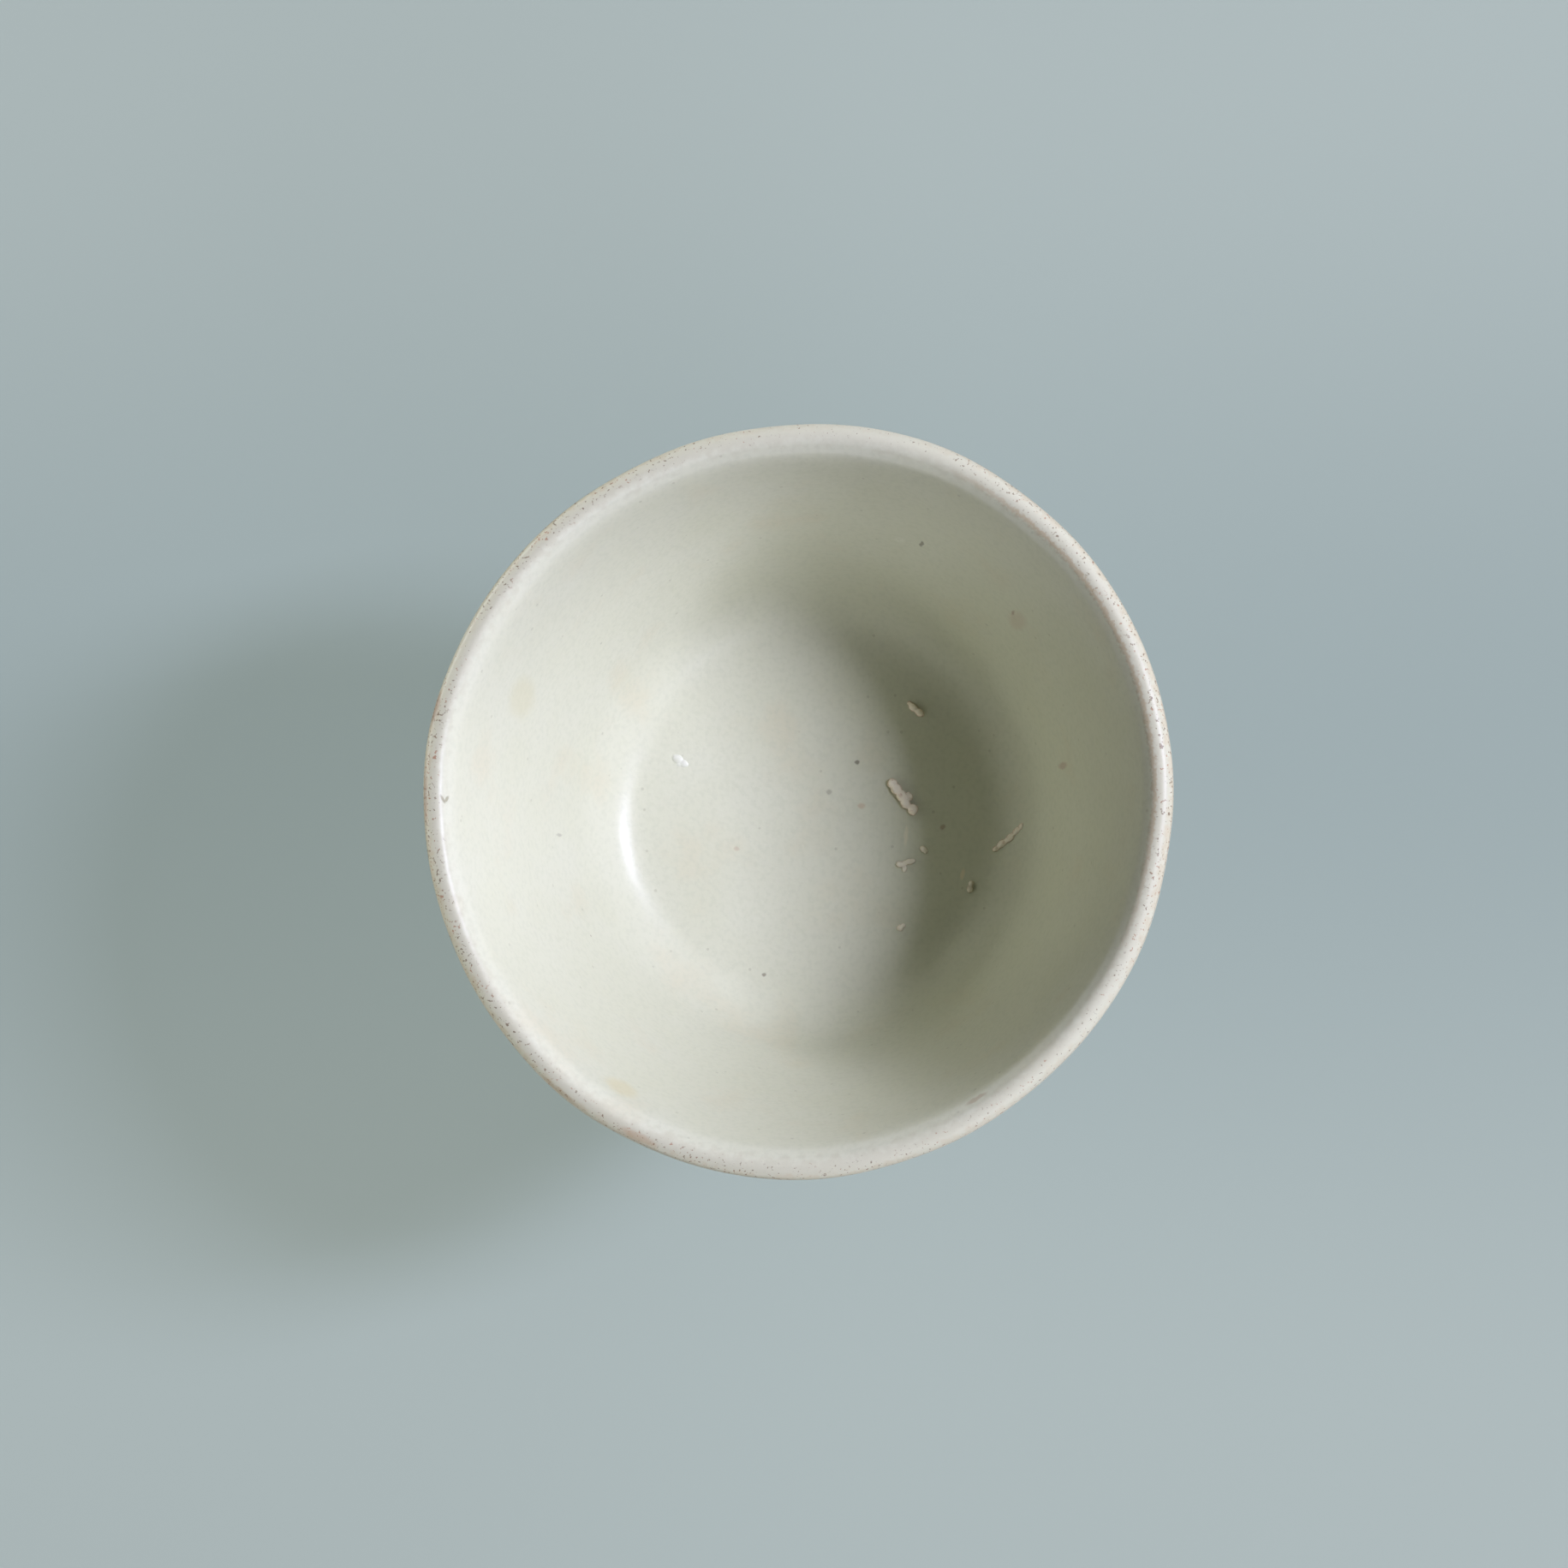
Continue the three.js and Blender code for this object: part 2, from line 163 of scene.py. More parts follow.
# Marks on the inside: place, length, width, turn, colour and strength
MARK_DEPTH, MARK_RAGGED_SIZE, MARK_RAGGED_REACH = 8.0, 0.8, 0.35
MARKS = [
    ((12.63, 28.27, 52.6), 0.4, 0.4, 0, "#5e5646", 0.7),
    ((5.08, 6.08, 31.0), 0.6, 0.5, 0, "#5e5646", 0.7),
    ((1.9, 2.73, 30.9), 0.7, 0.6, 0, "#6b5f4d", 0.35),
    ((-5.39, -17.74, 31.3), 0.5, 0.4, 0, "#6b5f4d", 0.6),
    ((-27.37, -2.53, 42.3), 0.5, 0.4, 0, "#6b6452", 0.35),
    ((22.46, 20.92, 51.8), 0.45, 0.4, 0, "#86654b", 0.55),
    ((22.9, 20.1, 51.4), 2.2, 1.6, -40, "#bea58b", 0.3),
    ((27.86, 4.82, 44.5), 0.9, 0.8, 0, "#a8826c", 0.45),
    ((14.68, -1.26, 31.2), 0.7, 0.5, 60, "#8f6244", 0.45),
    ((16.87, -6.54, 31.2), 1.3, 0.5, 80, "#f0dfc0", 0.5),
    ((5.56, 1.18, 30.9), 0.9, 0.7, 0, "#b8956f", 0.4),
    ((-8.48, -3.61, 31.0), 0.7, 0.6, 0, "#b39a80", 0.4),
    ((10.55, -2.21, 31.1), 2.4, 0.5, 85, "#e8e0c6", 0.5),
    ((-29.98, 11.51, 56.4), 4.6, 2.2, 75, "#c8c29a", 0.35),
    ((-18.48, -29.89, 66.8), 3.8, 1.3, -30, "#cdc398", 0.5),
    ((-36.85, 0.0, 69.6), 1.0, 0.3, -68, "#7f785c", 0.6),
    ((-36.45, 0.0, 69.6), 0.9, 0.3, 62, "#7f785c", 0.6),
    ((18.4, -30.98, 68.9), 2.6, 0.4, 30, "#a08462", 0.4),
    ((10.22, 28.87, 51.5), 1.4, 0.45, -10, "#dcdcc8", 0.5),
    ((-16.5, -34.9, 69.6), 4.2, 1.0, -25, "#a87c54", 0.35),
    ((-24.6, -30.2, 69.6), 5.0, 0.6, -39, "#94744f", 0.3),
    ((-37.6, 9.6, 69.6), 4.0, 0.7, 76, "#8a674c", 0.55),
    ((-38.7, 0.3, 69.6), 6.0, 0.6, 90, "#93735a", 0.45),
]

# Floor: the line across it where its painted shade is darkest, how far from there the shade fades out, and
# the camera's share of even colour,
# which grows to all of it between two distances from the cup
FLOOR_SIZE = 8000.0
FLOOR_SHADE_LINE, FLOOR_SHADE_FADE, FLOOR_EVEN = 12.0, 85.0, 0.66
FLOOR_EVENS_OUT = (200.0, 600.0)
# The first colour is a painted shade along that line, the second the board's paint away from it, the third
# what the camera sees far off
FLOOR_PAINTED_SHADE, FLOOR_LIGHT, FLOOR_FAR = "#9aa8a5", "#a9b5b0", "#a5b3b0"

# Fineness of the turned pieces
WELD = 0.001
CREASE_ANGLE = math.radians(40)
TURN_STEPS = 192
BEND_STEPS = 10
FLARE_STEPS = 24
EDGE_STEPS = 10
LONGEST_STEP = 0.9

COAT = SEAT + GLAZE_THICKNESS
FLOOR_HEIGHT = UNDERSIDE + BASE_THICKNESS
CUP_HEIGHT = FLOOR_HEIGHT + COAT + BOWL_DEPTH


# Half profiles: points are (distance from the axis, height)

def point(radius, height):
    return np.array([radius, height], float)


def towards(start, end):
    way = end - start
    return way / np.hypot(*way)


def left_of(heading):
    return point(-heading[1], heading[0])


def outer_corner(before, corner, after, thickness_before, thickness_after):
    """Corner on a wall's outer side, where both lines of the inner corner move out by a thickness."""
    first, second = towards(before, corner), towards(corner, after)
    on_first = corner - left_of(first) * thickness_before
    on_second = corner - left_of(second) * thickness_after
    gap = on_second - on_first
    along = (gap[0] * second[1] - gap[1] * second[0]) / (first[0] * second[1] - first[1] * second[0])
    return on_first + first * along


def bend(start, corner, end, steps=BEND_STEPS):
    """Curve that leaves start towards the corner and arrives at end from it."""
    share = np.linspace(0, 1, steps + 1)[:, None]
    return (1 - share) ** 2 * start + 2 * share * (1 - share) * corner + share ** 2 * end


def rounded_line(corners, roundings):
    """Line through corners, each inner one rounded from a length before it to a length after it."""
    pieces = [corners[:1]]
    for index, (before, after) in enumerate(roundings):
        corner = corners[index + 1]
        start = corner + towards(corner, corners[index]) * before
        end = corner + towards(corner, corners[index + 2]) * after
        pieces.append(bend(start, corner, end))
    return np.vstack([*pieces, corners[-1:]])


def moved_left(line, distance):
    """The same line moved to its left, with mitred corners. Points on the axis stay on it."""
    ways = np.diff(line, axis=0)
    lefts = np.stack([-ways[:, 1], ways[:, 0]], axis=1) / np.hypot(*ways.T)[:, None]
    mitres = np.vstack([2 * lefts[:1], lefts[1:] + lefts[:-1], 2 * lefts[-1:]])
    moved = line + mitres * (2 * distance / (mitres ** 2).sum(axis=1))[:, None]
    moved[:, 0] = np.maximum(moved[:, 0], 0)
    return moved


def stepped(line):
    """The same line with points added, so that no step is longer than LONGEST_STEP."""
    pieces = []
    for start, end in zip(line, line[1:]):
        count = math.ceil(np.hypot(*(end - start)) / LONGEST_STEP)
        pieces.append(np.linspace(start, end, count, endpoint=False))
    return np.vstack([*pieces, line[-1:]])


def lip_edge(from_angle, to_angle):
    """Round edge of the lip's clay between two angles above the level."""
    angles = np.linspace(from_angle, to_angle, EDGE_STEPS + 1)
    return LIP_CENTRE + LIP_EDGE_RADIUS * np.stack([np.cos(angles), np.sin(angles)], axis=1)


def flare(narrow_radius, wide_radius, wide_height, start_height):
    """Spread of the stem between its neck and its foot, from a start height up."""
    heights = np.linspace(start_height, NECK_BOTTOM, FLARE_STEPS + 1)
    spread = ((NECK_BOTTOM - heights) / (NECK_BOTTOM - wide_height)) ** FLARE_POWER
    return np.stack([narrow_radius + (wide_radius - narrow_radius) * spread, heights], axis=1)


def slip_curve(radius, side):
    """Hollow fillet of slip, from the stem's side up to the bowl's underside."""
    top = UNDERSIDE - SEAT
    start, end = point(radius, STEM_HEIGHT - SLIP_FILLET), point(radius + side * SLIP_FILLET, top)
    return bend(start, point(radius, top), end)


# Inside and outside of the bowl's clay
LIP_HEADING = point(math.cos(LIP_ANGLE), math.sin(LIP_ANGLE))
LIP_CENTRE = point(MOUTH_RADIUS - COAT - LIP_EDGE_RADIUS, CUP_HEIGHT - COAT - LIP_EDGE_RADIUS)
LIP_TOP = LIP_CENTRE + left_of(LIP_HEADING) * LIP_EDGE_RADIUS
LIP_UNDERSIDE = LIP_CENTRE - left_of(LIP_HEADING) * LIP_EDGE_RADIUS
LIP_THICKNESS = 2 * LIP_EDGE_RADIUS
THROAT = LIP_TOP - LIP_HEADING * LIP_REACH
WELL_MIDDLE = point(0, FLOOR_HEIGHT)
WELL_CORNER = point(WELL_RADIUS, FLOOR_HEIGHT + WELL_DISH)
WALL_OUTWARDS = -left_of(towards(WELL_CORNER, THROAT))
BELLY = WELL_CORNER + (THROAT - WELL_CORNER) * BELLY_PLACE + WALL_OUTWARDS * WALL_BELLY
PAD_EDGE = point(NECK_RADIUS + SEAT + SLIP_FILLET + PAD_MARGIN, UNDERSIDE)
UNDER_CORNER = outer_corner(
    point(0, WELL_CORNER[1]), WELL_CORNER, BELLY, SHOULDER_THICKNESS, WALL_THICKNESS)
OUTER_BELLY = BELLY + WALL_OUTWARDS * WALL_THICKNESS
UNDER_THROAT = outer_corner(BELLY, THROAT, LIP_TOP, LIP_THICKNESS, LIP_THICKNESS)

bowl_inside = stepped(rounded_line(
    np.array([WELL_MIDDLE, WELL_CORNER, BELLY, THROAT, LIP_TOP]),
    [(WELL_RUN, WELL_RISE), (BELLY_ROUND, BELLY_ROUND), (THROAT_BEND, LIP_BEND)]))
bowl_outside = stepped(rounded_line(
    np.array([PAD_EDGE, UNDER_CORNER, OUTER_BELLY, UNDER_THROAT, LIP_UNDERSIDE]),
    [(UNDER_RUN, UNDER_RISE), (BELLY_ROUND, BELLY_ROUND), (THROAT_BEND, LIP_BEND)]))

# Stem and slip
BORE_RADIUS = NECK_RADIUS - STEM_WALL
NECK_BOTTOM = STEM_HEIGHT - SLIP_FILLET - NECK_RUN
HOLLOW_RADIUS = FOOT_RADIUS - FOOT_BEVEL - FOOT_RING_WIDTH
UNDERSIDE_ANGLE, TOPSIDE_ANGLE = LIP_ANGLE - math.pi / 2, LIP_ANGLE + math.pi / 2
SEAM_HALF_ANGLE = SEAM_GAP / LIP_EDGE_RADIUS

glazed_stem = flare(NECK_RADIUS, FOOT_RADIUS, FOOT_EDGE_HEIGHT, FOOT_EDGE_HEIGHT + BARE_BAND)
stem_side = flare(NECK_RADIUS, FOOT_RADIUS, FOOT_EDGE_HEIGHT, FOOT_EDGE_HEIGHT + FOOT_EDGE_ROUND)
stem_hollow = flare(BORE_RADIUS, HOLLOW_RADIUS, 0, RING_EDGE_ROUND)
slip_outside = slip_curve(NECK_RADIUS + SEAT, 1)
slip_inside = slip_curve(BORE_RADIUS - SEAT, -1)
under_inside_glaze = np.vstack(
    [bowl_inside[:-1], lip_edge(SEAM_ANGLE + SEAM_HALF_ANGLE, TOPSIDE_ANGLE)[::-1]])
under_outside_glaze = np.vstack(
    [glazed_stem, slip_outside, bowl_outside, lip_edge(UNDERSIDE_ANGLE, SEAM_ANGLE - SEAM_HALF_ANGLE)[1:]])
inside_face = moved_left(under_inside_glaze, COAT)
outside_face = moved_left(under_outside_glaze, -COAT)
glaze_back = moved_left(under_outside_glaze, -SEAT)
glaze_edge = (glaze_back[0] + outside_face[0]) / 2
glaze_end = glaze_edge + towards(glazed_stem[1], glazed_stem[0]) * 2 * GLAZE_ROLL

PROFILES = {
    "bowl": np.vstack([
        point(0, UNDERSIDE),
        bowl_outside[:-1],
        lip_edge(UNDERSIDE_ANGLE, TOPSIDE_ANGLE),
        bowl_inside[:-1][::-1],
    ]),
    "stem": np.vstack([
        bend(point(FOOT_RADIUS - FOOT_BEVEL, 0), point(FOOT_RADIUS, 0), point(FOOT_RADIUS, FOOT_BEVEL)),
        bend(
            point(FOOT_RADIUS, FOOT_EDGE_HEIGHT - FOOT_EDGE_ROUND),
            point(FOOT_RADIUS, FOOT_EDGE_HEIGHT),
            stem_side[0]),
        stem_side[1:],
        point(NECK_RADIUS, STEM_HEIGHT),
        point(BORE_RADIUS, STEM_HEIGHT),
        stem_hollow[:0:-1],
        bend(stem_hollow[0], point(HOLLOW_RADIUS, 0), point(HOLLOW_RADIUS + RING_EDGE_ROUND, 0)),
        point(FOOT_RADIUS - FOOT_BEVEL, 0),
    ]),
    "slip_joint": np.vstack([
        slip_outside,
        slip_inside[::-1],
        point(BORE_RADIUS - SEAT, STEM_HEIGHT + SEAT),
        point(NECK_RADIUS + SEAT, STEM_HEIGHT + SEAT),
        slip_outside[0],
    ]),
    "inside_glaze": np.vstack([moved_left(under_inside_glaze, SEAT), inside_face[::-1]]),
    "outside_glaze": np.vstack([
        outside_face,
        glaze_back[::-1],
        bend(glaze_back[0], glaze_end, outside_face[0])[1:],
    ]),
}


# Meshes

def deselect():
    bpy.ops.object.select_all(action="DESELECT")


def vertex_places(piece):
    places = np.empty(len(piece.data.vertices) * 3)
    piece.data.vertices.foreach_get("co", places)
    return places.reshape(-1, 3) / MM


def turn(name, profile):
    """A solid turned on the wheel: its half profile is drawn point by point and spun round the axis."""
    deselect()
    bpy.ops.mesh.primitive_circle_add(vertices=3, radius=MM)
    piece = bpy.context.object
    piece.name = piece.data.name = name
    bpy.ops.object.mode_set(mode="EDIT")
    bpy.ops.mesh.merge(type="CENTER")
    bpy.ops.transform.translate(value=(profile[0][0] * MM, 0, profile[0][1] * MM))
    for across, up in np.diff(profile, axis=0) * MM:
        bpy.ops.mesh.extrude_vertices_move(TRANSFORM_OT_translate={"value": (across, 0, up)})
    bpy.ops.mesh.select_all(action="SELECT")
    bpy.ops.mesh.spin(steps=TURN_STEPS, angle=math.tau, center=(0, 0, 0), axis=(0, 0, 1))
    bpy.ops.mesh.select_all(action="SELECT")
    bpy.ops.mesh.remove_doubles(threshold=WELD * MM)
    bpy.ops.mesh.normals_make_consistent(inside=False)
    bpy.ops.object.mode_set(mode="OBJECT")
    bpy.ops.object.shade_smooth_by_angle(angle=CREASE_ANGLE)
    return piece


def lobes(angle, shapes):
    return sum(size * np.cos(count * (angle - math.radians(facing))) for count, size, facing in shapes)


def warp_in_kiln(piece):
    """Swells the bowl slightly out of round. The attribute reach keeps the distance from the axis before."""
    places = vertex_places(piece)
    reach = np.hypot(places[:, 0], places[:, 1])
    angle = np.arctan2(places[:, 1], places[:, 0])
    climb = np.maximum(places[:, 2] - UNDERSIDE, 0) / (CUP_HEIGHT - UNDERSIDE)
    swell = climb ** LOBE_GROWTH * lobes(angle, MOUTH_LOBES)
    swell += climb ** RIPPLE_GROWTH * lobes(angle, LIP_RIPPLES)
    places[:, :2] *= (1 + swell / MOUTH_RADIUS)[:, None]
    places[:, 2] += climb ** RIPPLE_GROWTH * lobes(angle, LIP_WAVES)
    piece.data.vertices.foreach_set("co", (places * MM).ravel())
    piece.data.attributes.new("reach", "FLOAT", "POINT").data.foreach_set("value", reach)
    piece.data.update()


def waver_edge(piece):
    """Lets the lower edge of the outside glaze waver up and down the stem."""
    places = vertex_places(piece)
    angle = np.arctan2(places[:, 1], places[:, 0])
    climb = (places[:, 2] - FOOT_EDGE_HEIGHT - BARE_BAND) / WAVER_HEIGHT
    along = lobes(angle, EDGE_WAVER) * np.clip(1 - climb, 0, 1)
    across, up = towards(glazed_stem[0], glazed_stem[1])
    steps = np.stack([across * np.cos(angle), across * np.sin(angle), np.full_like(angle, up)], axis=1)
    places += steps * along[:, None]
    piece.data.vertices.foreach_set("co", (places * MM).ravel())
    piece.data.update()


def lump(name, balls, grain):
    """A crumb of several balls grown into one lump, with a rough skin. Balls are (place, radii)."""
    deselect()
    for place, radii in balls:
        bpy.ops.mesh.primitive_ico_sphere_add(
            subdivisions=3, radius=MM, location=Vector(place) * MM, scale=radii)
        bpy.context.object.name = name + "_ball"
    for ball in bpy.context.scene.objects:
        ball.select_set(ball.name.startswith(name + "_ball"))
    bpy.ops.object.join()
    piece = bpy.context.object
    piece.name = piece.data.name = name
    bpy.ops.object.transform_apply()
    skin = piece.modifiers.new("skin", "REMESH")
    skin.voxel_size = CRUMB_VOXEL * MM
    bpy.ops.object.modifier_apply(modifier="skin")
    rough = piece.modifiers.new("rough", "DISPLACE")
    rough.texture = bpy.data.textures.new(name + "_grain", "CLOUDS")
    rough.texture.noise_scale = CRUMB_GRAIN * MM
    rough.strength = grain * MM
    bpy.ops.object.modifier_apply(modifier="rough")
    bpy.ops.object.shade_smooth()
    return piece


def lay_on_glaze(piece, x, y, turned):
    """Lays a lump on the inside glaze, bent to follow it. Its length is turned from +X, seen from above."""
    places = vertex_places(piece)
    facing = math.atan2(y, x)
    across = math.radians(turned) - facing
    uphill = places[:, 0] * math.cos(across) - places[:, 1] * math.sin(across)
    sideways = places[:, 0] * math.sin(across) + places[:, 1] * math.cos(across)
    along = np.concatenate([[0], np.cumsum(np.hypot(*np.diff(inside_face, axis=0).T))])
    middle = np.interp(math.hypot(x, y), inside_face[:, 0], along)
    reach, height = (np.interp(middle + uphill, along, inside_face[:, side]) for side in (0, 1))
    further = [np.interp(middle + uphill + SLOPE_STEP, along, inside_face[:, side]) for side in (0, 1)]
    slope = np.arctan2(further[1] - height, further[0] - reach)
    reach, height = reach - np.sin(slope) * places[:, 2], height + np.cos(slope) * places[:, 2]
    angle = facing + sideways / math.hypot(x, y)
    laid = np.stack([reach * np.cos(angle), reach * np.sin(angle), height], axis=1)
    piece.data.vertices.foreach_set("co", (laid * MM).ravel())
    piece.data.update()


# Materials

def linear(code):
    """Linear RGBA of an sRGB hex colour."""
    shares = [int(code[place:place + 2], 16) / 255 for place in (1, 3, 5)]
    return (*[s / 12.92 if s <= 0.04045 else ((s + 0.055) / 1.055) ** 2.4 for s in shares], 1.0)


def metres(limits):
    return [limit * MM for limit in limits]


def per(size):
    """Texture scale at which one feature has that size in millimetres."""
    return 1 / (size * MM)


def add(tree, kind, inputs=None, **settings):
    """A node with its settings. An input that is a socket is linked, and any other sets the value."""
    made = tree.nodes.new(kind)
    for name, value in settings.items():
        setattr(made, name, value)
    for key, value in (inputs or {}).items():
        if isinstance(value, bpy.types.NodeSocket):
            tree.links.new(value, made.inputs[key])
        else:
            made.inputs[key].default_value = value
    return made


def new_material(name, roughness):
    """An empty material: its tree, its Principled shader and the place on the object."""
    made = bpy.data.materials.new(name)
    made.use_nodes = True
    tree = made.node_tree
    shader = tree.nodes["Principled BSDF"]
    shader.inputs["IOR"].default_value = 1.5
    shader.inputs["Roughness"].default_value = roughness
    return made, tree, shader, add(tree, "ShaderNodeTexCoord").outputs["Object"]


# Places of a Mix node's colour inputs and output
MIX_A, MIX_B, MIX_RESULT = 6, 7, 2


def mixed(tree, share, first, second):
    """First colour with a share of the second."""
    made = add(tree, "ShaderNodeMix", {"Factor": share, MIX_A: first, MIX_B: second}, data_type="RGBA")
    return made.outputs[MIX_RESULT]


def noise(tree, place, size, detail=2):
    inputs = {"Vector": place, "Scale": per(size), "Detail": detail}
    return add(tree, "ShaderNodeTexNoise", inputs).outputs["Fac"]


def grade(tree, value, low, high, to_low=0.0, to_high=1.0):
    """Smooth step of a value between two limits."""
    inputs = {"Value": value, "From Min": low, "From Max": high, "To Min": to_low, "To Max": to_high}
    made = add(tree, "ShaderNodeMapRange", inputs, interpolation_type="SMOOTHSTEP")
    return made.outputs["Result"]


def times(tree, first, second):
    return add(tree, "ShaderNodeMath", {0: first, 1: second}, operation="MULTIPLY").outputs["Value"]


def plus(tree, first, second):
    return add(tree, "ShaderNodeMath", {0: first, 1: second}, operation="ADD").outputs["Value"]


def vector(tree, operation, inputs):
    return add(tree, "ShaderNodeVectorMath", inputs, operation=operation).outputs["Vector"]


def pits(tree, place, spacing, size, share):
    """Round dots of a size, in that share of the cells of a spacing."""
    cells = add(tree, "ShaderNodeTexVoronoi", {"Vector": place, "Scale": per(spacing)})
    dots = grade(tree, cells.outputs["Distance"], 0.5 * size / spacing, 0.25 * size / spacing)
    kept = add(tree, "ShaderNodeMath", {0: cells.outputs["Color"], 1: share}, operation="LESS_THAN")
    return times(tree, dots, kept.outputs["Value"])


def wander(tree, place, size, reach):
    """Place moved about by a noise, for ragged edges."""
    noisy = add(tree, "ShaderNodeTexNoise", {"Vector": place, "Scale": per(size), "Detail": 2})
    middled = vector(tree, "SUBTRACT", {0: noisy.outputs["Color"], 1: (0.5, 0.5, 0.5)})
    moved = vector(tree, "SCALE", {0: middled, "Scale": reach * MM})
    return vector(tree, "ADD", {0: place, 1: moved})


def bumped(tree, shader, height, depth):
    """Relief of a depth in millimetres."""
    made = add(tree, "ShaderNodeBump", {"Height": height, "Strength": 1.0, "Distance": depth * MM})
    tree.links.new(made.outputs["Normal"], shader.inputs["Normal"])


def glaze_body(tree, place):
    """Colour of the glaze itself: clouds, fine mottling, warm patches, pinholes and tiny iron specks."""
    clouds = noise(tree, place, CLOUD_SIZE, 3)
    warm = grade(tree, noise(tree, place, WARM_SIZE, 5), 0.54, 0.74, 0, 0.4)
    mottle = grade(tree, noise(tree, place, MOTTLE_SIZE, 3), 0.42, 0.7, 0, 0.35)
    colour = mixed(tree, clouds, linear(GLAZE_COOL), linear(GLAZE_GREEN))
    colour = mixed(tree, warm, colour, linear(GLAZE_WARM))
    colour = mixed(tree, mottle, colour, linear(GLAZE_MOTTLE))
    colour = mixed(tree, times(tree, pits(tree, place, *PINHOLES), 0.4), colour, linear(GLAZE_PINHOLE))
    return mixed(tree, times(tree, pits(tree, place, *IRON_SPECKS), 0.5), colour, linear(IRON_BROWN))


def lip_stretches(tree, parts):
    """Wear of the lip, from 0 to 1, by the stretch that a place is in."""
    back_x = times(tree, parts["X"], -1.0)
    back_y = times(tree, parts["Y"], -1.0)
    angle = add(tree, "ShaderNodeMath", {0: back_y, 1: back_x}, operation="ARCTAN2").outputs["Value"]
    limits = {"Value": angle, "From Min": -math.pi, "From Max": math.pi}
    round_share = add(tree, "ShaderNodeMapRange", limits).outputs["Result"]
    stretches = add(tree, "ShaderNodeValToRGB", {"Fac": round_share})
    bands = stretches.color_ramp.elements
    for index, (degrees, worn) in enumerate(LIP_STRETCHES):
        band = bands[index] if index < 2 else bands.new(0.5)
        band.position = 0.5 + degrees / 360
        band.color = (worn, worn, worn, 1)
    return stretches.outputs["Color"]


def lip_line(tree, place, parts, reach):
    """Share of the thin brown line along the lip's inner edge, on the right."""
    rough = grade(tree, noise(tree, place, LINE_SIZE, 2), 0.3, 0.7, -LINE_REACH, LINE_REACH)
    uneven = plus(tree, reach, rough)
    line = times(tree, grade(tree, uneven, *LIP_LINE_IN), grade(tree, uneven, *LIP_LINE_OUT))
    side = grade(tree, parts["X"], *metres(LIP_LINE_SIDE))
    front = grade(tree, parts["Y"], *metres(LIP_LINE_FRONT))
    return times(tree, times(tree, line, 0.45), times(tree, side, front))


def lip_wear(tree, shader, place, colour):
    """Worn, duller lip: buff clay shows through thin glaze, with brown and reddish specks in stretches."""
    parts = add(tree, "ShaderNodeSeparateXYZ", {"Vector": place}).outputs
    reach = add(tree, "ShaderNodeAttribute", attribute_name="reach").outputs["Fac"]
    reach = plus(tree, reach, grade(tree, parts["Z"], *metres(LIP_HEIGHTS), -LIP_DROP, 0))
    wear = lip_stretches(tree, parts)
    rough = grade(tree, noise(tree, place, RAGGED_SIZE, 3), 0.25, 0.75, -RAGGED_REACH, RAGGED_REACH)
    ragged = plus(tree, reach, rough)
    thin = times(tree, grade(tree, ragged, *LIP_BUFF), plus(tree, times(tree, wear, 0.4), 0.5))
    colour = mixed(tree, thin, colour, linear(LIP_COLOUR))
    bare = times(tree, grade(tree, ragged, *LIP_BARE), times(tree, wear, 0.85))
    colour = mixed(tree, bare, colour, linear(LIP_TAN))
    colour = mixed(tree, lip_line(tree, place, parts, reach), colour, linear(LINE_BROWN))
    grains = plus(tree, noise(tree, place, SPECK_SIZE, 2), times(tree, wear, 0.25))
    specks = times(tree, grade(tree, grains, 0.69, 0.76), grade(tree, ragged, *LIP_SPECKLED))
    reddish = grade(tree, noise(tree, place, RUST_SIZE), 0.48, 0.62)
    rust = mixed(tree, reddish, linear(SPECK_BROWN), linear(SPECK_RED))
    dull = grade(tree, reach, *LIP_MATT, GLAZE_ROUGHNESS, LIP_ROUGHNESS)
    tree.links.new(dull, shader.inputs["Roughness"])
    return mixed(tree, times(tree, specks, 0.8), colour, rust)


def stains(tree, place, colour):
    """Single marks of use and firing on the inside: iron spots, stains and streaks."""
    ragged = wander(tree, place, MARK_RAGGED_SIZE, MARK_RAGGED_REACH)
    for where, length, width, turned, tint, share in MARKS:
        local = add(
            tree, "ShaderNodeMapping",
            {"Vector": ragged, "Location": Vector(where) * MM, "Rotation": (0, 0, math.radians(turned)),
             "Scale": (0.5 * length * MM, 0.5 * width * MM, MARK_DEPTH * MM)},
            vector_type="TEXTURE").outputs["Vector"]
        away = add(tree, "ShaderNodeVectorMath", {0: local}, operation="LENGTH").outputs["Value"]
        colour = mixed(tree, grade(tree, away, 1.3, 0.5, 0, share), colour, linear(tint))
    return colour


def turning_lines(tree, place, size):
    """Rings left by the potter's tool: a noise that changes with height only."""
    return noise(tree, vector(tree, "MULTIPLY", {0: place, 1: (0.02, 0.02, 1)}), size, 3)


def inside_coat():
    """Porcelain glaze, fired satin glossy: greyish white with a green cast, a worn lip and old stains."""
    material, tree, shader, place = new_material("porcelain_glaze_greyish_white", GLAZE_ROUGHNESS)
    shader.inputs["Specular IOR Level"].default_value = GLAZE_GLOSS
    colour = stains(tree, place, lip_wear(tree, shader, place, glaze_body(tree, place)))
    tree.links.new(colour, shader.inputs["Base Color"])
    bumped(tree, shader, plus(tree, noise(tree, place, 1.4, 2), noise(tree, place, 0.5, 1)), GLAZE_RELIEF)
    return material


